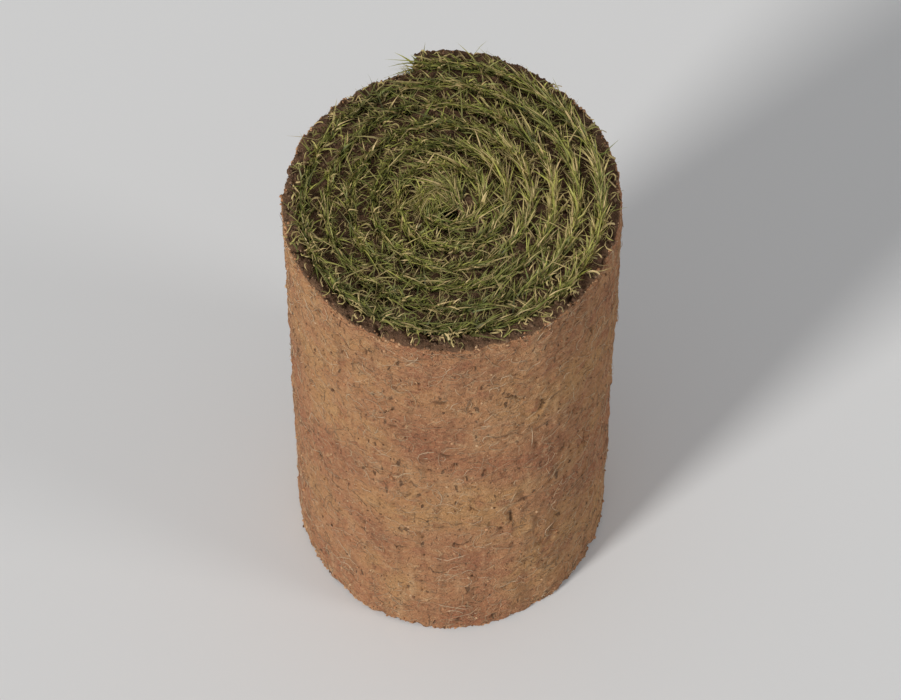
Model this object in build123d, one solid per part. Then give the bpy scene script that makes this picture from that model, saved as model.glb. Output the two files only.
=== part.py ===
"""One roll of turf: a strip of mown lawn cut from the field and wound up with its soil side out.

The strip is a mat of soil and roots with its grass pressed flat against the turn inside it, so the
roll is one solid. Its coil is a volute of quarter-turn arcs: each arc is larger than the last one
by a quarter of the winding pitch, and its centre steps back by as much, so the arcs join smoothly.
Each arc turns the strip's cross-section about its centre: the soil mat over the full width, with
its cut edges crumbled, and behind it the pressed grass, which stands back from both ends, so that
the turns show there with a groove between them. The first turn closes round a small eye, and the
tail is a lip of bare soil mat that reaches past the grass behind it.

Frame: the roll stands on one end. +Z runs up along the coil's axis, the origin lies on the floor
below the middle of the roll, and seen from above the coil winds outwards anticlockwise. Sizes are
in millimetres and degrees.
"""

import os
from math import cos, degrees, radians, sin

from build123d import *

strip_length = 2500.0  # along the middle of the soil mat, from the eye to the tail
strip_width = 400.0
soil_thickness = 11.0
grass_thickness = 4.0  # the mown pile, pressed flat between two turns
grass_setback = 14.0  # how far the pressed grass stands back from each end of the roll
eye_radius = 6.0  # the open eye that the first turn closes round
edge_wear = 2.5  # crumbled corners along the mat's two cut edges
tail_lip = 12.0  # the last of the soil mat, which reaches past the grass behind it
tail_wear = 2.0  # crumbled edges round the cut at the tail
tail_direction = 80.0  # from +X, seen from above
arc_sweep = 90.0

pitch = soil_thickness + grass_thickness
centre_step = pitch * arc_sweep / 360


def turned(angle, distance):
    """The point at a distance from the origin, in a direction turned by an angle from +X."""
    return Vector(distance * cos(radians(angle)), distance * sin(radians(angle)))


def coil_arcs():
    """The arcs of the soil mat's outer face from the eye to the tail.

    Each one is its centre, its radius, its first angle and its sweep, and the last is cut short
    where the strip's length runs out.
    """
    arcs = []
    centre = Vector(0, 0)
    radius = eye_radius + pitch
    angle = 0.0
    length_left = strip_length
    while length_left > 0:
        mid_radius = radius - soil_thickness / 2
        sweep = min(arc_sweep, degrees(length_left / mid_radius))
        arcs.append((centre, radius, angle, sweep))
        length_left -= mid_radius * radians(sweep)
        angle += arc_sweep
        centre = centre - turned(angle, centre_step)
        radius += centre_step
    return arcs


def soil_section(radius):
    """The soil mat's cross-section on the XZ plane, with its outer face at the arc's radius."""
    mat = Rectangle(soil_thickness, strip_width)
    mat = chamfer(mat.vertices(), edge_wear)
    return Plane.XZ * Pos(radius - soil_thickness / 2, 0) * mat


def strip_section(radius):
    """The strip's cross-section: the soil mat, and the pressed grass on its inner face."""
    grass = Rectangle(grass_thickness, strip_width - 2 * grass_setback)
    middle = radius - soil_thickness - grass_thickness / 2
    return soil_section(radius) + Plane.XZ * Pos(middle, 0) * grass


def turn(section, centre, angle, sweep):
    """A cross-section turned about an arc's centre, with the coil's axis along Z."""
    return Pos(centre.X, centre.Y, 0) * Rot(0, 0, angle) * revolve(section, Axis.Z, sweep)


def tail(centre, radius, angle, sweep):
    """The last arc: the strip up to its lip, and the lip of bare soil mat with its worn cut."""
    lip_sweep = degrees(tail_lip / radius)
    lip_angle = angle + sweep - lip_sweep
    strip = turn(strip_section(radius), centre, angle, sweep - lip_sweep)
    lip = revolve(soil_section(radius), Axis.Z, lip_sweep)
    cut = lip.faces().sort_by(Axis.Y)[-1]
    lip = chamfer(cut.edges(), tail_wear)
    return [strip, Pos(centre.X, centre.Y, 0) * Rot(0, 0, lip_angle) * lip]


def coil():
    """The whole wound strip about the Z axis, with its middle over the origin."""
    arcs = coil_arcs()
    pieces = []
    for centre, radius, angle, sweep in arcs[:-1]:
        pieces.append(turn(strip_section(radius), centre, angle, sweep))
    pieces.extend(tail(*arcs[-1]))
    wound = pieces[0].fuse(*pieces[1:], glue=True).clean()
    centre, radius, angle, sweep = arcs[-1]
    wound = Rot(0, 0, tail_direction - angle - sweep) * wound
    box = wound.bounding_box()
    return Pos(-box.center().X, -box.center().Y, -box.min.Z) * wound


os.makedirs("parts", exist_ok=True)
export_step(coil(), "parts/turf_roll.step")
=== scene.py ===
"""Dresses one roll of turf, stood on end: the soil mat wound into a coil, its roots and crumbs, and
the mown grass that shows between the turns at both ends."""

import math
from math import cos, pi, radians, sin

import bmesh
import bpy
import numpy as np
from mathutils import Matrix, Vector, noise
from mathutils.bvhtree import BVHTree


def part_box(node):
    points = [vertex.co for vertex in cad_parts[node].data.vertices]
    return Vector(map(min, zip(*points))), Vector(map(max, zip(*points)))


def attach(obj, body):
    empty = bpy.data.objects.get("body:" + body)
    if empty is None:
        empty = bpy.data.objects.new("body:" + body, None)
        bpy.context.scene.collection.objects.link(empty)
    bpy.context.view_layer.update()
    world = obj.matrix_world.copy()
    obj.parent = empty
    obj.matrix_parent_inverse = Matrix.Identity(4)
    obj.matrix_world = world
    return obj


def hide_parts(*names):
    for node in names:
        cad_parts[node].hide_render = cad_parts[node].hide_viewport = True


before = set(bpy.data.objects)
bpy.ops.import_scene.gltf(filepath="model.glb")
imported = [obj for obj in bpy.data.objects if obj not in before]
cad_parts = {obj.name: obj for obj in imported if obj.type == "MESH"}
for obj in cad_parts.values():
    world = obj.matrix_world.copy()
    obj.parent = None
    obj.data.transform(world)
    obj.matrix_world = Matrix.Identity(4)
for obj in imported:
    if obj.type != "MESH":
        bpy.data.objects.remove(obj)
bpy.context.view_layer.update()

# The soil mat. It is a strip of sandy soil held together by the lawn's roots, sliced from the field
# and wound with the soil side out. A volute of quarter-turn arcs makes the coil, each one larger
# than the last by a quarter of the winding pitch. The sliced face is matted, pitted and cracked, and
# the cut edges and the tail are torn. The outer turn takes finer points than the turns inside.
STRIP_LENGTH = 2.5
SOIL_THICKNESS = 0.011
GRASS_THICKNESS = 0.004
EYE_RADIUS = 0.006
TAIL_DIRECTION = 80.0
PITCH = SOIL_THICKNESS + GRASS_THICKNESS
SKIN_CELL = 0.00195  # spacing of the points on the turn that shows
CORE_CELL = 0.003
EDGE_BAND = 0.03  # how deep the fine points run along each cut edge of the turns inside
SKIN_SWEEP = 385.0  # degrees of the coil that the outer turn takes, a little more than one turn
EDGE_WEAR = 0.0028
UNDULATION = 0.0012
LUMPS = 0.0013
PIT_DEPTH = 0.0022
CRACK_DEPTH = 0.0032
RAGGED = 0.0045
BITE_REACH = 0.012  # how far the broken edges reach into the mat
TORN_REACH = 0.009  # and the torn tail
TAIL_WEAR = 0.0015
TAIL_WEAR_REACH = 0.003
TAIL_SLACK = 0.02  # radians past the cut at the tail that still belong to it
CUT_FACE = 0.0004  # how near to the cut at the tail a point counts as cut
LUMP_RISE = 0.0022  # how far a lump may stand past the top end
roll_low, roll_high = (Vector(corner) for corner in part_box("turf_roll"))
BOTTOM, TOP = roll_low.z, roll_high.z


def heading(angle):
    """The way outward at an angle in degrees."""
    return Vector((cos(radians(angle)), sin(radians(angle)), 0))


def wind_coil():
    """The arcs of the mat's outer face from the eye to the tail: centre, radius, angle and sweep."""
    arcs = []
    centre, radius, angle = Vector((0, 0, 0)), EYE_RADIUS + PITCH, 0.0
    length_left = STRIP_LENGTH
    while length_left > 0:
        mid_radius = radius - SOIL_THICKNESS / 2
        sweep = min(90.0, math.degrees(length_left / mid_radius))
        arcs.append((centre, radius, angle, sweep))
        length_left -= mid_radius * radians(sweep)
        angle += 90
        centre = centre - heading(angle) * PITCH / 4
        radius += PITCH / 4
    return arcs


def settle_coil(arcs):
    """The arcs turned so that the tail lies in its direction, and centred in the roll's box."""
    swing = TAIL_DIRECTION - arcs[-1][2] - arcs[-1][3]
    turned = [(Matrix.Rotation(radians(swing), 3, "Z") @ c, r, a + swing, s) for c, r, a, s in arcs]
    rim = [c + heading(a + s * i / 90) * r for c, r, a, s in turned[-6:] for i in range(91)]
    middle = (roll_low + roll_high) / 2
    for k in (0, 1):
        middle[k] -= (min(p[k] for p in rim) + max(p[k] for p in rim)) / 2
    middle.z = 0
    return [(c + middle, r, a, s) for c, r, a, s in turned]


def split_arcs(arcs, angle):
    """The arcs before and after an angle, with the arc that holds it cut in two."""
    before, after = [], []
    for centre, radius, start, sweep in arcs:
        cut = min(max(angle - start, 0.0), sweep)
        if cut > 0:
            before.append((centre, radius, start, cut))
        if cut < sweep:
            after.append((centre, radius, start + cut, sweep - cut))
    return before, after


def ring_section(bm, thickness, low, high, radius, centre, angle, wear):
    """The edges of a worn rectangle that stands in the plane through the arc's centre."""
    bmesh.ops.create_grid(bm, x_segments=1, y_segments=1, size=0.5)
    bmesh.ops.delete(bm, geom=bm.faces[:], context="FACES_ONLY")
    bmesh.ops.scale(bm, vec=(thickness, high - low, 1), verts=bm.verts)
    if wear:
        bmesh.ops.bevel(bm, geom=bm.verts[:], offset=wear, offset_type="OFFSET", segments=3,
                        profile=0.5, affect="VERTICES", material=-1)
    bmesh.ops.rotate(bm, matrix=Matrix.Rotation(pi / 2, 3, "X"), verts=bm.verts)
    bmesh.ops.translate(bm, vec=(radius - thickness / 2, 0, (low + high) / 2), verts=bm.verts)
    bmesh.ops.rotate(bm, matrix=Matrix.Rotation(radians(angle), 3, "Z"), verts=bm.verts)
    bmesh.ops.translate(bm, vec=centre, verts=bm.verts)


def divide_edges(bm, cell, inside=lambda middle: True):
    """Divides each straight edge that lies inside into lengths of about one cell."""
    counts = {}
    for edge in bm.edges:
        cuts = round(edge.calc_length() / cell) - 1
        if cuts > 0 and inside((edge.verts[0].co + edge.verts[1].co) / 2):
            counts.setdefault(cuts, []).append(edge)
    for cuts, edges in counts.items():
        bmesh.ops.subdivide_edges(bm, edges=edges, cuts=cuts)


def spin_along(bm, arcs, cell):
    """Spins the section's edges along the arcs, closes both ends and returns the last end's face."""
    first = bm.edges[:]
    last = bm.verts[:] + bm.edges[:]
    for centre, radius, _, sweep in arcs:
        steps = max(2, round(radius * radians(sweep) / cell))
        last = bmesh.ops.spin(bm, geom=last, cent=centre, axis=(0, 0, 1), angle=radians(sweep),
                              steps=steps, use_merge=False, use_duplicate=False)["geom_last"]
    bmesh.ops.contextual_create(bm, geom=first)
    last_edges = [e for e in last if isinstance(e, bmesh.types.BMEdge)]
    cap = bmesh.ops.contextual_create(bm, geom=last_edges)["faces"][0]
    bmesh.ops.recalc_face_normals(bm, faces=bm.faces)
    return cap


def sliced(bm, faces, place, way):
    """Cuts faces by a plane and returns what they become."""
    edges = {e for f in faces for e in f.edges}
    verts = {v for f in faces for v in f.verts}
    cut = bmesh.ops.bisect_plane(bm, geom=[*faces, *edges, *verts], plane_co=place, plane_no=way)
    return [part for part in cut["geom"] if isinstance(part, bmesh.types.BMFace)]


def divide_cap(bm, cap, cell):
    """Cuts the face at the tail into cells, by level planes and by upright ones."""
    rows, rest = [], [cap]
    for level in np.arange(BOTTOM + cell, TOP - cell / 2, cell):
        parts = sliced(bm, rest, (0, 0, level), (0, 0, 1))
        rest = [max(parts, key=lambda f: f.calc_center_median().z)]
        rows.extend(f for f in parts if f not in rest)
    rows.extend(rest)
    centre, radius = coil[-1][:2]
    for inward in np.arange(cell, SOIL_THICKNESS - cell / 2, cell):
        place = centre + heading(coil_end) * (radius - inward)
        rows = sliced(bm, rows, place, heading(coil_end))


def crack_depth(p):
    """From 0 to 1, how deep a point lies in one of the short cracks and holes."""
    line = max(0.0, 1 - abs(noise.noise(p * 34 + Vector((5, 2, 9)))) / 0.06)
    where = min(1.0, max(0.0, noise.noise(p * 58 + Vector((1, 8, 4))) - 0.2) / 0.15)
    hole = min(0.7, max(0.0, noise.noise(p * 110 + Vector((11, 2, 8))) - 0.5) / 0.2)
    return max(line * where, hole)


def soil_relief(p):
    """How far the sliced face stands out at a point: broad waves, lumps, pits and cracks."""
    broad = noise.noise(p * 14) * UNDULATION + noise.noise(p * 38 + Vector((7, 1, 3))) * UNDULATION
    lumps = noise.fractal(p * 150, 1.0, 2.0, 3) * LUMPS
    pit = max(0.0, noise.noise(p * 230 + Vector((3, 9, 4))) - 0.2) * PIT_DEPTH
    return broad + lumps - pit - crack_depth(p) * CRACK_DEPTH


def tail_depth(p):
    """How far a point of the mat lies before the cut at its tail, along the winding."""
    centre, radius = coil[-1][:2]
    off = (p - centre).xy
    if off.length < radius - SOIL_THICKNESS * 1.3:
        return 1.0
    return radius * ((radians(coil_end) - math.atan2(off.y, off.x) + TAIL_SLACK) % (2 * pi)
                     - TAIL_SLACK)


def edge_bite(p):
    """How the nearer of the two cut edges is broken, as a move of a point up or down."""
    upper = p.z > (TOP + BOTTOM) / 2
    near_edge = max(0.0, 1 - min(TOP - p.z, p.z - BOTTOM) / BITE_REACH)
    q = Vector((p.x, p.y, 3 if upper else 9))
    bite = noise.fractal(q * 45, 1.0, 2.0, 4) * 0.6 + noise.noise(q * 320) * 0.35 + 0.3
    return Vector((0, 0, (-1 if upper else 1) * bite * RAGGED * near_edge))


def tail_bite(height, depth):
    """How the cut at the tail is torn back, as a move of a point against the winding."""
    torn = noise.fractal(Vector((120, 360, height * 60)), 1.0, 2.0, 4) * 0.7 + 0.3
    return heading(coil_end - 90) * torn * RAGGED * max(0.0, 1 - depth / TORN_REACH)


def worn_back(depth):
    """How far a rounded corner stands back at a depth from the face beside it."""
    return EDGE_WEAR - math.sqrt(EDGE_WEAR ** 2 - max(0.0, EDGE_WEAR - depth) ** 2)


def crumble(bm):
    """Roughens the mat, tears its two cut edges and its tail, and marks what is cracked and what
    lies on the two ends or at the tail's cut, which the soil material darkens as painted shade.
    """
    bm.normal_update()
    cut = bm.verts.layers.float.new("cut")
    crack = bm.verts.layers.float.new("crack")
    moves = []
    for v in bm.verts:
        p = v.co
        depth = tail_depth(p)
        # cut marks the two ends and the tail's cut, where the soil material paints shade.
        v[cut], v[crack] = max(abs(v.normal.z), depth < CUT_FACE), crack_depth(p)
        rough = soil_relief(p) * (1 + 0.5 * v[cut])
        rough -= TAIL_WEAR * max(0.0, 1 - depth / TAIL_WEAR_REACH) ** 2
        moves.append(v.normal * rough + edge_bite(p) + tail_bite(p.z, depth))
    for v, move in zip(bm.verts, moves):
        v.co += move
        v.co.z = min(max(v.co.z, BOTTOM), TOP + LUMP_RISE)


def finished(name, bm, material):
    """A smooth-shaded object made of the bmesh, at the origin."""
    mesh = bpy.data.meshes.new(name)
    bm.to_mesh(mesh)
    bm.free()
    mesh.shade_smooth()
    mesh.materials.append(material)
    piece = bpy.data.objects.new(name, mesh)
    bpy.context.scene.collection.objects.link(piece)
    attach(piece, "root")
    return piece


def node_of(tree, kind, inputs=None, **settings):
    """A shader node with its settings, and its inputs either set or linked."""
    node = tree.nodes.new(kind)
    for key, value in settings.items():
        setattr(node, key, value)
    for key, value in (inputs or {}).items():
        if isinstance(value, bpy.types.NodeSocket):
            tree.links.new(value, node.inputs[key])
        else:
            node.inputs[key].default_value = value
    return node


def root_lines_group():
    """Thin curved lines like matted roots: the level curves of a stretched noise."""
    group = bpy.data.node_groups.new("root_lines", "ShaderNodeTree")
    for name, kind in (("Vector", "NodeSocketVector"), ("Scale", "NodeSocketFloat"),
                       ("Width", "NodeSocketFloat")):
        group.interface.new_socket(name, in_out="INPUT", socket_type=kind)
    group.interface.new_socket("Lines", in_out="OUTPUT", socket_type="NodeSocketFloat")
    given = group.nodes.new("NodeGroupInput")
    field = node_of(group, "ShaderNodeTexNoise", {"Vector": given.outputs["Vector"],
                    "Scale": given.outputs["Scale"], "Detail": 2.0, "Roughness": 0.45,
                    "Distortion": 0.6})
    offset = node_of(group, "ShaderNodeMath", {0: field.outputs[0], 1: 0.5}, operation="SUBTRACT")
    distance = node_of(group, "ShaderNodeMath", {0: offset.outputs[0]}, operation="ABSOLUTE")
    line = node_of(group, "ShaderNodeMapRange", {"Value": distance.outputs[0], "From Min": 0.0,
                   "From Max": given.outputs["Width"], "To Min": 1.0, "To Max": 0.0},
                   interpolation_type="SMOOTHSTEP")
    result = group.nodes.new("NodeGroupOutput")
    group.links.new(line.outputs["Result"], result.inputs["Lines"])
    return group


def new_material(name, roughness):
    """A material with its tree, its Principled shader and its Object coordinates."""
    material = bpy.data.materials.new(name)
    material.use_nodes = True
    tree = material.node_tree
    shader = tree.nodes["Principled BSDF"]
    shader.inputs["Roughness"].default_value = roughness
    shader.inputs["Specular IOR Level"].default_value = 0.25
    coordinates = tree.nodes.new("ShaderNodeTexCoord").outputs["Object"]
    return material, tree, shader, coordinates


def ramp_of(tree, value, *stops):
    """A colour ramp with a colour at each stop."""
    ramp = node_of(tree, "ShaderNodeValToRGB", {"Fac": value})
    ends = ramp.color_ramp.elements
    while len(ends) < len(stops):
        ends.new(0.5)
    for element, (position, colour) in zip(ends, stops):
        element.position = position
        element.color = (*colour, 1)
    return ramp.outputs["Color"]


def mixed(tree, factor, a, b, blend="MIX"):
    """Two colours mixed by a factor. Each is a socket or a colour."""
    mix = node_of(tree, "ShaderNodeMix", data_type="RGBA", blend_type=blend)
    sockets = {"Factor": mix.inputs[0], "A": mix.inputs[6], "B": mix.inputs[7]}
    for key, value in (("Factor", factor), ("A", a), ("B", b)):
        if isinstance(value, bpy.types.NodeSocket):
            tree.links.new(value, sockets[key])
        elif key == "Factor":
            sockets[key].default_value = value
        else:
            sockets[key].default_value = (*value, 1)
    return mix.outputs[2]


def noise_value(tree, vector, scale, detail=2.0, roughness=0.5, distortion=0.0):
    """A noise texture's value at the vector."""
    node = node_of(tree, "ShaderNodeTexNoise", {"Vector": vector, "Scale": scale, "Detail": detail,
                   "Roughness": roughness, "Distortion": distortion})
    return node.outputs[0]


def mask_of(tree, value, low, high):
    """0 below the low value, 1 above the high one, smooth between them."""
    node = node_of(tree, "ShaderNodeMapRange", {"Value": value, "From Min": low, "From Max": high},
                   interpolation_type="SMOOTHSTEP")
    return node.outputs["Result"]


def scaled(tree, value, factor):
    """A value times a factor."""
    return node_of(tree, "ShaderNodeMath", {0: value, 1: factor}, operation="MULTIPLY").outputs[0]


def added(tree, a, b):
    """The sum of two values."""
    return node_of(tree, "ShaderNodeMath", {0: a, 1: b}, operation="ADD").outputs[0]


def moved(tree, vector, place, stretch=(1, 1, 1)):
    """A vector moved to another place of a noise, and stretched."""
    node = node_of(tree, "ShaderNodeMapping", {"Vector": vector, "Location": place,
                   "Scale": stretch})
    return node.outputs["Vector"]


TAN = (0.45, 0.215, 0.1)
OCHRE = (0.5, 0.262, 0.109)
RED_EARTH = (0.364, 0.145, 0.071)
DARK_EARTH = (0.10, 0.052, 0.028)
# A dark earth that paints shade on the ends and the tail's cut, and specks on the crumbs.
SHADE_AND_SPECK_EARTH = (0.115, 0.066, 0.038)
ROOT_TAN = (0.63, 0.41, 0.22)


def around_roll(tree, place):
    """A place as length round the roll and height, with its seam at the tail."""
    facing = node_of(tree, "ShaderNodeMapping", {"Vector": place,
                     "Rotation": (0, 0, radians(180 - TAIL_DIRECTION))}).outputs["Vector"]
    x, y, z = node_of(tree, "ShaderNodeSeparateXYZ", {0: facing}).outputs
    angle = node_of(tree, "ShaderNodeMath", {0: y, 1: x}, operation="ARCTAN2").outputs[0]
    length = scaled(tree, angle, coil[-1][1])
    return node_of(tree, "ShaderNodeCombineXYZ", {0: length, 1: z}).outputs[0]


def attribute_of(tree, name, output="Fac"):
    """What the mesh holds under a name."""
    return node_of(tree, "ShaderNodeAttribute", attribute_name=name).outputs[output]


def root_threads(tree, vector, scale, width):
    """The root lines at a scale, from the shared group."""
    lines = bpy.data.node_groups.get("root_lines") or root_lines_group()
    group = node_of(tree, "ShaderNodeGroup", node_tree=lines)
    tree.links.new(vector, group.inputs["Vector"])
    group.inputs["Scale"].default_value = scale
    group.inputs["Width"].default_value = width
    return group.outputs["Lines"]


def tinted(tree, colour, *layers):
    """A colour under layers: a value, where its mask is 0 and 1, the layer's share and its tint."""
    for value, low, high, share, tint in layers:
        colour = mixed(tree, scaled(tree, mask_of(tree, value, low, high), share), colour, tint)
    return colour


def soil_material():
    """Dry tan soil with marks of the blade, roots and cracks, and painted shade that darkens the
    ends and the tail's cut.
    """
    material, tree, shader, place = new_material("soil", 0.95)
    unrolled = around_roll(tree, place)
    patches = noise_value(tree, place, 11, 3, 0.6)
    colour = ramp_of(tree, patches, (0.34, RED_EARTH), (0.5, TAN), (0.64, OCHRE))
    mottle = noise_value(tree, place, 60, 5, 0.68)
    grain = noise_value(tree, moved(tree, place, (4, 1, 2)), 330, 5, 0.75)
    slices = noise_value(tree, moved(tree, unrolled, (1, 2, 0), (0.22, 1, 1)), 150, 4, 0.6, 0.3)
    chatter = noise_value(tree, moved(tree, unrolled, (7, 1, 0), (1, 0.13, 1)), 95, 3, 0.6)
    dashes = noise_value(tree, moved(tree, unrolled, (5, 3, 0), (1, 0.35, 1)), 210, 2, 0.5)
    colour = tinted(tree, colour,
                    (mottle, 0.5, 0.66, 0.7, RED_EARTH), (grain, 0.54, 0.68, 0.6, ROOT_TAN),
                    (grain, 0.47, 0.33, 0.8, DARK_EARTH), (slices, 0.6, 0.72, 0.65, DARK_EARTH),
                    (slices, 0.42, 0.3, 0.35, ROOT_TAN), (chatter, 0.52, 0.7, 0.3, DARK_EARTH),
                    (chatter, 0.44, 0.3, 0.25, ROOT_TAN), (dashes, 0.64, 0.72, 0.8, DARK_EARTH))
    threads = root_threads(tree, moved(tree, place, (0, 0, 5)), 80, 0.016)
    fine_threads = root_threads(tree, moved(tree, place, (3, 1, 0)), 150, 0.02)
    colour = mixed(tree, scaled(tree, threads, 0.45), colour, ROOT_TAN)
    colour = mixed(tree, scaled(tree, fine_threads, 0.3), colour, ROOT_TAN)
    cracked = added(tree, attribute_of(tree, "crack"), scaled(tree, grain, 0.5))
    # Painted shade: the two ends and the tail's cut, marked by cut, are mixed towards the dark
    # earth.
    cut = added(tree, attribute_of(tree, "cut"), scaled(tree, mottle, 0.9))
    colour = tinted(tree, colour, (cracked, 0.55, 1.0, 0.7, DARK_EARTH),
                    (cut, 0.85, 1.15, 0.82, SHADE_AND_SPECK_EARTH), (grain, 0.58, 0.7, 0.3, TAN))
    tree.links.new(colour, shader.inputs["Base Color"])
    relief = grain
    for value, height in ((mottle, 1.2), (slices, -0.5), (chatter, -0.5), (threads, 0.2),
                          (mask_of(tree, dashes, 0.64, 0.72), -0.45)):
        relief = added(tree, relief, scaled(tree, value, height))
    bump = node_of(tree, "ShaderNodeBump", {"Strength": 1.0, "Distance": 0.003, "Height": relief})
    tree.links.new(bump.outputs["Normal"], shader.inputs["Normal"])
    return material


coil = settle_coil(wind_coil())
coil_end = coil[-1][2] + coil[-1][3]
core_arcs, skin_arcs = split_arcs(coil, coil_end - SKIN_SWEEP)
soil = soil_material()

skin_bm = bmesh.new()
centre, radius, angle = skin_arcs[0][:3]
ring_section(skin_bm, SOIL_THICKNESS, BOTTOM, TOP, radius, centre, angle, EDGE_WEAR)
inner_face = centre + heading(angle) * (radius - SOIL_THICKNESS)
divide_edges(skin_bm, SKIN_CELL, lambda p: (p.xy - inner_face.xy).length > SOIL_THICKNESS * 0.3)
divide_cap(skin_bm, spin_along(skin_bm, skin_arcs, SKIN_CELL), SKIN_CELL)
crumble(skin_bm)
skin = finished("soil_outer_turn", skin_bm, soil)
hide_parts("turf_roll")

core_bm = bmesh.new()
centre, radius, angle = core_arcs[0][:3]
ring_section(core_bm, SOIL_THICKNESS, BOTTOM, TOP, radius, centre, angle, EDGE_WEAR)
for level in (TOP - EDGE_BAND, BOTTOM + EDGE_BAND):
    bmesh.ops.bisect_plane(core_bm, geom=core_bm.verts[:] + core_bm.edges[:],
                           plane_co=(0, 0, level), plane_no=(0, 0, 1))
divide_edges(core_bm, CORE_CELL, lambda p: not BOTTOM + EDGE_BAND < p.z < TOP - EDGE_BAND)
spin_along(core_bm, core_arcs, CORE_CELL)
crumble(core_bm)
core = finished("soil_inner_turns", core_bm, soil)

# The root hairs. The cutter's blade slices through the lawn's roots, so the soil side is matted with
# fine pale hairs that lie on it in all directions and curl off it here and there.
HAIRS = 2600
HAIR_LENGTH = (0.006, 0.03)
HAIR_THICKNESS = (0.00022, 0.00045)
HAIR_LIFT = 0.0014
HAIR_REST = 0.0001  # how far a hair that lies flat is off the soil
HAIR_SEGMENTS = 5
HAIR_MARGIN = 0.003  # bare mat along the two cut edges
CURL_MARGIN = 0.001  # and how near to them a hair may curl
TAIL_GAP = 0.01  # radians that the hairs keep from the cut at the tail
roll_middle = (roll_low + roll_high) / 2


def outer_face(angles, heights):
    """Points of the roll's outer face at angles and heights, with its relief, and outward ways."""
    points, ways = [], []
    for angle, height in zip(angles, heights):
        degrees_on = (math.degrees(angle) - coil_end) % 360 + coil_end - 360
        for centre, radius, start, sweep in coil[::-1]:
            if start <= degrees_on <= start + sweep:
                break
        way = heading(degrees_on)
        flat = centre + way * radius + Vector((0, 0, height))
        relief = soil_relief(flat) - worn_back(min(TOP - height, height - BOTTOM))
        points.append(flat + way * relief + edge_bite(flat))
        ways.append(way)
    return np.array(points), np.array(ways)


def joined_copies(name, faces, places, tints, material):
    """One mesh of many copies of a shape. Places holds each copy's corners, tints their colours."""
    count, size = places.shape[:2]
    loops = np.concatenate([np.array(face) for face in faces])
    all_loops = np.tile(loops, count) + np.repeat(np.arange(count) * size, len(loops))
    sides = np.tile([len(face) for face in faces], count)
    starts = np.concatenate([[0], np.cumsum(sides)[:-1]])
    mesh = bpy.data.meshes.new(name)
    mesh.vertices.add(count * size)
    mesh.vertices.foreach_set("co", places.reshape(-1))
    mesh.loops.add(len(all_loops))
    mesh.loops.foreach_set("vertex_index", all_loops.astype(np.int32))
    mesh.polygons.add(len(sides))
    mesh.polygons.foreach_set("loop_start", starts.astype(np.int32))
    mesh.update(calc_edges=True)
    mesh.validate()
    tint = mesh.color_attributes.new("tint", "FLOAT_COLOR", "POINT")
    tint.data.foreach_set("color", np.dstack([tints, np.ones((count, size))]).reshape(-1))
    mesh.shade_smooth()
    mesh.materials.append(material)
    piece = bpy.data.objects.new(name, mesh)
    bpy.context.scene.collection.objects.link(piece)
    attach(piece, "root")
    return piece


def shape_arrays(bm):
    """The bmesh's corners and faces as arrays, to be copied many times."""
    bmesh.ops.recalc_face_normals(bm, faces=bm.faces)
    bm.verts.index_update()
    corners = np.array([v.co[:] for v in bm.verts])
    faces = [[v.index for v in face.verts] for face in bm.faces]
    bm.free()
    return corners, faces


def hair_shape():
    """A three-sided hair along X, from 0 to 1, of unit thickness, with pointed ends."""
    bm = bmesh.new()
    bmesh.ops.create_cone(bm, cap_ends=False, segments=3, radius1=0.5, radius2=0.5, depth=1)
    long_edges = [e for e in bm.edges if abs(e.verts[0].co.z - e.verts[1].co.z) > 0.5]
    bmesh.ops.subdivide_edges(bm, edges=long_edges, cuts=HAIR_SEGMENTS - 1,
                               use_grid_fill=False)
    for v in bm.verts:
        if abs(v.co.z) > 0.499:
            v.co.x = v.co.y = 0
    bmesh.ops.remove_doubles(bm, verts=bm.verts, dist=1e-5)
    bmesh.ops.rotate(bm, matrix=Matrix.Rotation(pi / 2, 3, "Y"), verts=bm.verts)
    bmesh.ops.translate(bm, vec=(0.5, 0, 0), verts=bm.verts)
    return shape_arrays(bm)


def lay_hairs(name, count, seed, material):
    """Hairs that lie on the outer face, each along its own curve, and none across the tail's cut."""
    rng = np.random.default_rng(seed)
    corners, faces = hair_shape()
    stations, which = np.unique(corners[:, 0].round(4), return_inverse=True)
    length = rng.uniform(*HAIR_LENGTH, count)
    turn = rng.uniform(0, 2 * pi, count)
    curl = rng.normal(0, 1.6, count)
    past_tail = (rng.uniform(0, 2 * pi, count) - radians(coil_end)) % (2 * pi)
    reach = length / 2 / coil[-1][1] + TAIL_GAP
    angle = radians(coil_end) + np.clip(past_tail, reach, 2 * pi - reach)
    height = BOTTOM + HAIR_MARGIN + (TOP - BOTTOM - 2 * HAIR_MARGIN) * rng.beta(0.8, 0.8, count)
    lift = np.abs(rng.normal(0, HAIR_LIFT / 2, count))
    lines = []
    for share in stations:
        bend = turn + curl * (share - 0.5)
        run = length * (share - 0.5)
        z = np.clip(height + run * np.sin(bend), BOTTOM + CURL_MARGIN, TOP - CURL_MARGIN)
        points, ways = outer_face(angle + run * np.cos(bend) / coil[-1][1], z)
        lines.append(points + ways * (HAIR_REST + lift * abs(2 * share - 1) ** 1.5)[:, None])
    lines = np.stack(lines, 1)
    along = np.gradient(lines, axis=1)
    along /= np.linalg.norm(along, axis=2)[:, :, None]
    side = np.cross(along, ways[:, None, :])
    side /= np.linalg.norm(side, axis=2)[:, :, None]
    above = np.cross(side, along)
    thick = rng.uniform(*HAIR_THICKNESS, count)[:, None, None]
    places = lines[:, which] + thick * (side[:, which] * corners[None, :, 1, None]
                                        + above[:, which] * corners[None, :, 2, None])
    tints = np.repeat(rng.uniform(0, 1, (count, 1, 3)), len(corners), 1)
    return joined_copies(name, faces, places, tints, material)


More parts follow.
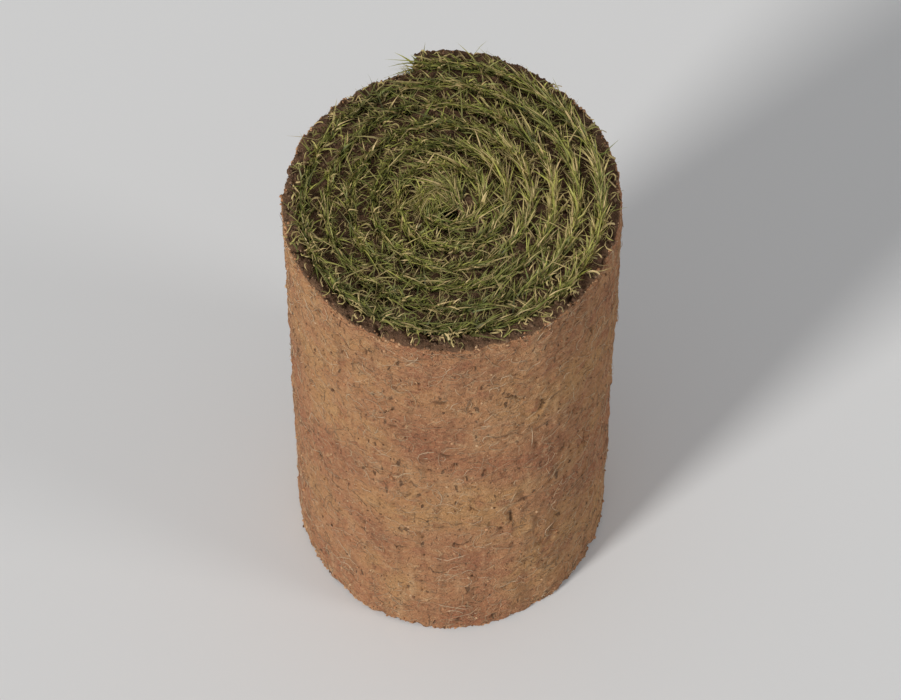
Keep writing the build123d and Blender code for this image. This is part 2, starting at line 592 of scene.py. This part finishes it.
def hair_material():
    """Roots from brown to pale straw, by the tint that each hair carries."""
    material, tree, shader, _ = new_material("root_hair", 0.8)
    tint = attribute_of(tree, "tint", "Color")
    shade = node_of(tree, "ShaderNodeSeparateColor", {0: tint}).outputs["Red"]
    colour = ramp_of(tree, shade, (0.0, (0.2, 0.12, 0.07)), (0.5, (0.46, 0.31, 0.18)),
                     (1.0, (0.66, 0.5, 0.33)))
    tree.links.new(colour, shader.inputs["Base Color"])
    return material


lay_hairs("root_hairs", HAIRS, 21, hair_material())

# The crumbs. Grains and small clods of the same soil cling to the sliced face, and more of them to
# the cut edges of the turns and to the tail, where the mat breaks up. They are dry and pale on the
# side; those on the ends and at the tail's cut are darker, with painted shade.
SIDE_CRUMBS = 2600
RIM_CRUMBS = 1600
RIM_DEPTH = 0.012  # how far down the side the crumbs of a crumbling rim reach
END_CRUMBS = 5200
TAIL_CRUMBS = 1300
CRUMB_SIZE = (0.0007, 0.0027)
CRUMB_STRETCH = (0.6, 1.3)
PALE_EARTH = (0.55, 0.36, 0.205)
# The palest colour of the crumbs that carry painted shade.
PALE_SHADED_EARTH = (0.27, 0.165, 0.095)


def crumb_shape():
    """A lump of unit size, dented so that no side is round."""
    bm = bmesh.new()
    bmesh.ops.create_icosphere(bm, subdivisions=1, radius=0.5)
    for v in bm.verts:
        v.co *= 1 + 0.5 * noise.noise(v.co * 3 + Vector((2, 5, 1)))
    return shape_arrays(bm)


def along_coil(share):
    """Centres, radii and angles of the outer face at shares of the coil's length."""
    centres, radii, starts, sweeps = (np.array(part) for part in zip(*coil))
    lengths = radii * np.radians(sweeps)
    ends = np.cumsum(lengths)
    at = share * ends[-1]
    which = np.minimum(np.searchsorted(ends, at), len(coil) - 1)
    into = (at - (ends[which] - lengths[which])) / lengths[which]
    return centres[which], radii[which], np.radians(starts[which] + into * sweeps[which])


def ways_at(angles):
    """The ways outward and onward at angles round the coil."""
    out = np.stack([np.cos(angles), np.sin(angles), np.zeros(len(angles))], 1)
    return out, np.stack([-out[:, 1], out[:, 0], out[:, 2]], 1)


soil_surfaces = [BVHTree.FromObject(piece, bpy.context.evaluated_depsgraph_get())
                 for piece in (skin, core)]


def scatter_crumbs(name, points, rng, material):
    """Lumps of random size and turn, each on the soil nearest to its point."""
    corners, faces = crumb_shape()
    count = len(points)
    nearest = [min((face.find_nearest(point) for face in soil_surfaces), key=lambda hit: hit[3])
               for point in points]
    points = np.array([hit[0] for hit in nearest])
    size = CRUMB_SIZE[0] + (CRUMB_SIZE[1] - CRUMB_SIZE[0]) * rng.uniform(0, 1, count) ** 3
    frames = np.linalg.qr(rng.normal(0, 1, (count, 3, 3)))[0]
    frames *= np.sign(np.linalg.det(frames))[:, None, None]
    stretch = rng.uniform(*CRUMB_STRETCH, (count, 1, 3))
    shapes = np.einsum("nij,nkj->nki", frames, corners[None] * stretch)
    places = points[:, None, :] + shapes * size[:, None, None]
    places[:, :, 2] = np.clip(places[:, :, 2], BOTTOM, None)
    tints = np.repeat(rng.uniform(0, 1, (count, 1, 3)), len(corners), 1)
    return joined_copies(name, faces, places, tints, material)


def crumb_material(name, dark, middling, pale):
    """Soil between three colours, by the tint that each crumb carries."""
    material, tree, shader, place = new_material(name, 0.95)
    tint = attribute_of(tree, "tint", "Color")
    shade = node_of(tree, "ShaderNodeSeparateColor", {0: tint}).outputs["Red"]
    colour = ramp_of(tree, shade, (0.0, dark), (0.55, middling), (1.0, pale))
    grain = noise_value(tree, place, 900, 3, 0.6)
    tree.links.new(mixed(tree, scaled(tree, mask_of(tree, grain, 0.5, 0.3), 0.4), colour,
                         SHADE_AND_SPECK_EARTH), shader.inputs["Base Color"])
    return material


rng = np.random.default_rng(31)
heights = BOTTOM + (TOP - BOTTOM) * rng.beta(0.8, 0.8, SIDE_CRUMBS)
rim_depths = RIM_DEPTH * rng.beta(1, 4, RIM_CRUMBS)
rim_heights = np.where(rng.uniform(0, 1, RIM_CRUMBS) < 0.5, TOP - rim_depths, BOTTOM + rim_depths)
side_points, _ = outer_face(rng.uniform(0, 2 * pi, SIDE_CRUMBS + RIM_CRUMBS),
                            np.concatenate([heights, rim_heights]))
crumbs = crumb_material("dry_crumb", DARK_EARTH, TAN, PALE_EARTH)
scatter_crumbs("crumbs_on_side", side_points, rng, crumbs)
# Painted shade: the crumbs on the ends and at the tail's cut are darker than those on the side.
shaded_crumbs = crumb_material("painted_shade_crumb", DARK_EARTH, SHADE_AND_SPECK_EARTH, PALE_SHADED_EARTH)
for name, level in (("crumbs_on_top_end", TOP), ("crumbs_on_bottom_end", BOTTOM)):
    centres, radii, angles = along_coil(rng.uniform(0, 1, END_CRUMBS))
    inward = SOIL_THICKNESS * rng.uniform(0.06, 0.94, END_CRUMBS)
    points = centres + ways_at(angles)[0] * (radii - inward)[:, None]
    points[:, 2] = level
    scatter_crumbs(name, points, rng, shaded_crumbs)
last_centre, last_radius = coil[-1][:2]
depths = rng.uniform(0, SOIL_THICKNESS, TAIL_CRUMBS)
tail_points = (np.array(last_centre)
               + np.array(heading(coil_end)) * (last_radius - depths)[:, None])
tail_points[:, 2] = rng.uniform(BOTTOM, TOP, TAIL_CRUMBS)
scatter_crumbs("crumbs_at_tail", tail_points, rng, shaded_crumbs)

# The pressed grass. Between two turns the mown pile is squeezed flat against the soil of the turn
# inside it. It is one matted layer, and it shows only at the bottom of the grooves on the ends.
PRESSED_SETBACK = 0.009
PRESSED_CELL = 0.006
LIP_SWEEP = 6.0  # degrees of bare soil mat at the tail
LEAF_DARK = (0.028, 0.041, 0.011)
LEAF_GREEN = (0.122, 0.15, 0.026)
LEAF_BRIGHT = (0.41, 0.4, 0.08)
STRAW = (0.6, 0.44, 0.2)


def pressed_material():
    """Flattened leaves and straw that run up the roll."""
    material, tree, shader, place = new_material("pressed_grass", 0.8)
    fibres = noise_value(tree, moved(tree, place, (0, 0, 0), (1, 1, 0.15)), 420, 3, 0.6)
    colour = ramp_of(tree, fibres, (0.35, LEAF_DARK), (0.6, LEAF_GREEN), (0.75, STRAW))
    tree.links.new(colour, shader.inputs["Base Color"])
    bump = node_of(tree, "ShaderNodeBump", {"Strength": 1.0, "Distance": 0.002, "Height": fibres})
    tree.links.new(bump.outputs["Normal"], shader.inputs["Normal"])
    return material


pressed_bm = bmesh.new()
centre, radius, angle = coil[0][:3]
ring_section(pressed_bm, GRASS_THICKNESS, BOTTOM + PRESSED_SETBACK, TOP - PRESSED_SETBACK,
             radius - SOIL_THICKNESS, centre, angle, 0)
pressed_arcs, _ = split_arcs(coil, coil_end - LIP_SWEEP)
spin_along(pressed_bm, pressed_arcs, PRESSED_CELL)
finished("pressed_grass", pressed_bm, pressed_material())

# The grass. The mown blades stand on the inner face of the mat and are trapped between the turns, so
# at each end they spray out of the grooves in a line that follows the winding, and lean over the
# soil, and under the tail they reach out of the slot. They are flat tapered leaves, green with a
# share of dry straw. Thatch, which is short dry bits of them, lies across both ends.
TOP_BLADES = 17000
BOTTOM_BLADES = 9000
EYE_BLADES = 1000
TAIL_BLADES = 2200
BLADE_LENGTH = (0.008, 0.022)
BLADE_WIDTH = (0.0008, 0.0017)
ROOT_DEPTH = (0.001, 0.011)  # how far below the end a blade starts
TAIL_ROOT_DEPTH = (0.001, 0.010)  # and how far behind the tail's cut
TAIL_REACH = (0.002, 0.011)  # how far the blades there reach past the cut
TAIL_MARGIN = 0.008  # and how far from both ends they start
STRAY_SHARE = 0.12
EYE_SHARE = 0.03  # of the strip's length, where the blades lean in over the eye
TIP_RISE = 0.011  # how far the highest tips stand past the end
TIP_SPREAD = 0.008  # how far the widest ones reach past the roll's side
FLOOR_GAP = 0.0006  # between the floor and the blades that are pressed flat on it
FLOOR_PRESS = 0.004
DRY_SHARE = 0.27
THATCH = 1500
THATCH_LENGTH = (0.004, 0.012)
THATCH_WIDTH = (0.0005, 0.0012)
THATCH_ARCH = (0.0005, 0.0035)
THATCH_INSET = 0.003  # bare soil along the rim of each turn
THATCH_SINK = 0.0008  # how deep the ends of the bits lie below the end of the roll
THATCH_CLEARANCE = 0.005  # room for them above the floor


def blade_shape():
    """One leaf of unit length along Z and unit width along X."""
    bm = bmesh.new()
    bmesh.ops.create_grid(bm, x_segments=1, y_segments=4, size=0.5)
    bmesh.ops.rotate(bm, matrix=Matrix.Rotation(pi / 2, 3, "X"), verts=bm.verts)
    bmesh.ops.translate(bm, vec=(0, 0, 0.5), verts=bm.verts)
    for v in bm.verts:
        v.co.x *= 1 - v.co.z ** 2.2
    bmesh.ops.remove_doubles(bm, verts=bm.verts, dist=1e-5)
    return shape_arrays(bm)


def blade_material():
    """Green leaves and straw, by the tint that each blade carries, with painted shade at the roots
    and tips paled partly as a painted highlight.
    """
    material, tree, shader, _ = new_material("grass_blade", 0.5)
    tint = attribute_of(tree, "tint", "Color")
    hue, height, dryness = node_of(tree, "ShaderNodeSeparateColor", {0: tint}).outputs
    shade = ramp_of(tree, hue, (0.0, LEAF_DARK), (0.45, LEAF_GREEN), (1.0, LEAF_BRIGHT))
    # Partly a painted highlight: each blade is mixed towards the bright leaf colour near its tip.
    tipped = mixed(tree, scaled(tree, mask_of(tree, height, 0.4, 1.3), 0.5), shade, LEAF_BRIGHT)
    # Painted shade: the lower half of each blade darkens to the dark leaf colour at its root.
    shaded_roots = mixed(tree, mask_of(tree, height, 0.5, 0.0), tipped, LEAF_DARK)
    tree.links.new(mixed(tree, dryness, shaded_roots, STRAW), shader.inputs["Base Color"])
    return material


def held_in(places, end):
    """Keeps blades inside the room that they have above the end, on the floor and round the side."""
    level = TOP if end > 0 else BOTTOM
    rise = (places[:, :, 2] - level) * end
    if end > 0:
        rise = np.where(rise > 0, TIP_RISE * np.tanh(rise / TIP_RISE), rise)
    else:
        rise = -FLOOR_GAP - FLOOR_PRESS * np.log1p(np.exp(-(rise + FLOOR_GAP) / FLOOR_PRESS))
    places[:, :, 2] = level + end * rise
    off = places[:, :, :2] - np.array(roll_middle[:2])
    reach = np.linalg.norm(off, axis=2)
    limit = (roll_high.x - roll_low.x) / 2
    past = np.maximum(reach - limit, 0)
    kept = np.where(past > 0, limit + TIP_SPREAD * np.tanh(past / TIP_SPREAD), reach)
    places[:, :, :2] = np.array(roll_middle[:2]) + off * (kept / np.maximum(reach, 1e-6))[:, :, None]
    return places


def tints_of(count, hue, height, dryness):
    """The red, green and blue that each corner of each blade carries."""
    return np.dstack([np.broadcast_to(part, (count, len(height)))
                      for part in (hue, height, dryness)])


def grow_blades(name, count, end, seed, material):
    """Blades that spray out of the grooves at one end: 1 for the top, -1 for the bottom."""
    rng = np.random.default_rng(seed)
    corners, faces = blade_shape()
    share = np.concatenate([rng.uniform(0, 1, count - EYE_BLADES),
                            rng.uniform(0, EYE_SHARE, EYE_BLADES)])
    centres, radii, angles = along_coil(share)
    out, ahead = ways_at(angles)
    up = np.array([0, 0, float(end)])
    root_radius = radii - SOIL_THICKNESS - rng.uniform(-0.1, 1.0, count) * GRASS_THICKNESS
    roots = centres + out * root_radius[:, None]
    roots[:, 2] = (TOP if end > 0 else BOTTOM) - end * rng.uniform(*ROOT_DEPTH, count)
    length = BLADE_LENGTH[0] + (BLADE_LENGTH[1] - BLADE_LENGTH[0]) * rng.beta(1.2, 2.2, count)
    stray = np.where(rng.uniform(0, 1, count) < STRAY_SHARE, 2.6, 1.0)
    lean_in = rng.normal(-0.08, 0.22, count) * stray - np.where(share < EYE_SHARE, 0.65, 0)
    lean_along = rng.normal(0.35, 0.55, count)
    start = up + 0.35 * (out * lean_in[:, None] + ahead * lean_along[:, None])
    start /= np.linalg.norm(start, axis=1)[:, None]
    fall = out * lean_in[:, None] * 1.7 + ahead * lean_along[:, None] * 1.5 - up * 0.35
    fall += rng.normal(0, 0.2, (count, 3))
    across = np.cross(start, rng.normal(0, 1, (count, 3)))
    across /= np.linalg.norm(across, axis=1)[:, None]
    width = rng.uniform(*BLADE_WIDTH, count)
    t, u = corners[:, 2], corners[:, 0]
    curve = start[:, None, :] * t[None, :, None] + fall[:, None, :] * (t ** 2 * 0.5)[None, :, None]
    places = roots[:, None, :] + length[:, None, None] * curve
    places += across[:, None, :] * width[:, None, None] * u[None, :, None]
    patch = np.array([noise.noise(Vector(p) * 40) * 0.6 + noise.noise(Vector(p) * 12)
                      for p in roots])
    hue = np.clip(0.48 + 0.5 * patch + rng.normal(0, 0.25, count), 0, 1)
    dry = rng.uniform(0, 1, count) < DRY_SHARE + 0.45 * np.clip(patch, 0, 1)
    dryness = np.where(dry, rng.uniform(0.5, 1, count), rng.uniform(0, 0.2, count))
    tints = tints_of(count, hue[:, None], t, dryness[:, None])
    return joined_copies(name, faces, held_in(places, end), tints, material)


def lay_thatch(name, end, seed, material):
    """Short dry bits that lie across an end, each arched and curled its own way."""
    rng = np.random.default_rng(seed)
    corners, faces = blade_shape()
    t, u = corners[:, 2], corners[:, 0]
    centres, radii, angles = along_coil(rng.uniform(0, 1, THATCH))
    inward = rng.uniform(THATCH_INSET, PITCH, THATCH)
    middles = centres + ways_at(angles)[0] * (radii - inward)[:, None]
    turn = rng.uniform(0, 2 * pi, (THATCH, 1)) + rng.normal(0, 1.4, (THATCH, 1)) * t
    run = rng.uniform(*THATCH_LENGTH, (THATCH, 1)) * (t - 0.5)
    across = rng.uniform(*THATCH_WIDTH, (THATCH, 1)) * u
    arch = rng.uniform(*THATCH_ARCH, (THATCH, 1)) * (1 - (2 * t - 1) ** 2)
    tilt = rng.normal(0, 0.6, (THATCH, 1)) * across
    level = (TOP if end > 0 else BOTTOM + THATCH_CLEARANCE) - THATCH_SINK
    places = middles[:, None, :] + np.dstack([run * np.cos(turn) - across * np.sin(turn),
                                              run * np.sin(turn) + across * np.cos(turn),
                                              level + end * (arch + tilt)])
    tints = tints_of(THATCH, rng.uniform(0.2, 1, (THATCH, 1)), 0.3 + 0.7 * t,
                     rng.beta(1.6, 0.8, (THATCH, 1)))
    return joined_copies(name, faces, held_in(places, end), tints, material)


def fringe_tail(name, seed, material):
    """Blades that reach out of the slot under the tail, all the way up the roll."""
    rng = np.random.default_rng(seed)
    corners, faces = blade_shape()
    t, u = corners[:, 2], corners[:, 0]
    back = rng.uniform(*TAIL_ROOT_DEPTH, (TAIL_BLADES, 1))
    out, ahead = ways_at(radians(coil_end) - back[:, 0] / last_radius)
    roots = np.array(last_centre) + out * (last_radius - SOIL_THICKNESS - rng.uniform(
        0.1, 0.95, (TAIL_BLADES, 1)) * GRASS_THICKNESS)
    roots[:, 2] = rng.uniform(BOTTOM + TAIL_MARGIN, TOP - TAIL_MARGIN, TAIL_BLADES)
    rise = rng.normal(0.1, 0.5, (TAIL_BLADES, 1)) * np.array([0, 0, 1])
    fall = rise + out * rng.normal(0.05, 0.16, (TAIL_BLADES, 1))
    fall += rng.normal(0, 0.08, (TAIL_BLADES, 3))
    length = back + rng.uniform(*TAIL_REACH, (TAIL_BLADES, 1))
    curve = (ahead + rise * 0.3)[:, None, :] * t[None, :, None]
    curve = curve + fall[:, None, :] * (t ** 2)[None, :, None]
    across = rng.uniform(*BLADE_WIDTH, TAIL_BLADES)[:, None, None] * u[None, :, None]
    places = roots[:, None, :] + length[:, :, None] * curve + across * np.array([0, 0, 1.0])
    tints = tints_of(TAIL_BLADES, rng.uniform(0.1, 0.9, (TAIL_BLADES, 1)), t,
                     rng.beta(0.5, 0.8, (TAIL_BLADES, 1)))
    return joined_copies(name, faces, places, tints, material)


blade_green = blade_material()
grow_blades("grass_top_end", TOP_BLADES, 1, 11, blade_green)
grow_blades("grass_bottom_end", BOTTOM_BLADES, -1, 12, blade_green)
lay_thatch("thatch_top_end", 1, 13, blade_green)
lay_thatch("thatch_bottom_end", -1, 14, blade_green)
fringe_tail("grass_at_tail", 15, blade_green)

# The floor, the light and the camera. The roll stands on a pale floor in soft light from the left,
# and the camera sees it under the same angle to its axis as in the photograph. The world is pale to
# the camera and in reflections, and gives less light than it shows.
FLOOR_COLOUR = (0.78, 0.77, 0.75)
FLOOR_REACH = 6.0
SKY_COLOUR = (0.92, 0.95, 1.0)
WORLD_STRENGTH = 0.38  # as a light
BACKDROP_STRENGTH = 0.75  # as a background
VIEW_DISTANCE = 2.9
VIEW_ELEVATION = 60.7
VIEW_AZIMUTH = -20.0
LENS = 172.0
SENSOR_WIDTH = 36.0

floor_bm = bmesh.new()
bmesh.ops.create_grid(floor_bm, x_segments=1, y_segments=1, size=FLOOR_REACH)
floor_mesh = bpy.data.meshes.new("floor")
floor_bm.to_mesh(floor_mesh)
floor_bm.free()
floor_material, _, floor_shader, _ = new_material("pale_floor", 0.9)
floor_shader.inputs["Base Color"].default_value = (*FLOOR_COLOUR, 1)
floor_mesh.materials.append(floor_material)
floor = bpy.data.objects.new("floor", floor_mesh)
bpy.context.scene.collection.objects.link(floor)


def aimed(thing, place, target):
    """Puts a lamp or camera in its place, and points it at the target."""
    thing.location = place
    thing.rotation_euler = (target - place).to_track_quat("-Z", "Y").to_euler()
    bpy.context.scene.collection.objects.link(thing)


def soft_light(name, place, spread, strength):
    """A wide, far lamp, which lights the floor evenly and gives soft shadows."""
    lamp = bpy.data.lights.new(name, "SUN")
    lamp.angle = radians(spread)
    lamp.energy = strength
    aimed(bpy.data.objects.new(name, lamp), Vector(place), roll_middle)


soft_light("key_light", (-3.68, -1.6, 1.96), 12.5, 2.69)
soft_light("fill_light", (3.68, -3.04, 2.28), 17.5, 0.64)

world = bpy.data.worlds.new("studio")
world.use_nodes = True
sky = world.node_tree
rays = node_of(sky, "ShaderNodeLightPath").outputs
seen = added(sky, rays["Is Camera Ray"], added(sky, rays["Is Glossy Ray"],
             rays["Is Transmission Ray"]))
strength = added(sky, scaled(sky, seen, BACKDROP_STRENGTH - WORLD_STRENGTH), WORLD_STRENGTH)
sky.nodes["Background"].inputs["Color"].default_value = (*SKY_COLOUR, 1)
sky.links.new(strength, sky.nodes["Background"].inputs["Strength"])
bpy.context.scene.world = world

camera_data = bpy.data.cameras.new("camera")
camera_data.lens = LENS
camera_data.sensor_width = SENSOR_WIDTH
camera = bpy.data.objects.new("camera", camera_data)
azimuth, elevation = radians(VIEW_AZIMUTH), radians(VIEW_ELEVATION)
back = Vector((sin(azimuth) * cos(elevation), -cos(azimuth) * cos(elevation), sin(elevation)))
aimed(camera, roll_middle + back * VIEW_DISTANCE, roll_middle)
bpy.context.scene.camera = camera
bpy.context.scene.view_settings.view_transform = "Standard"
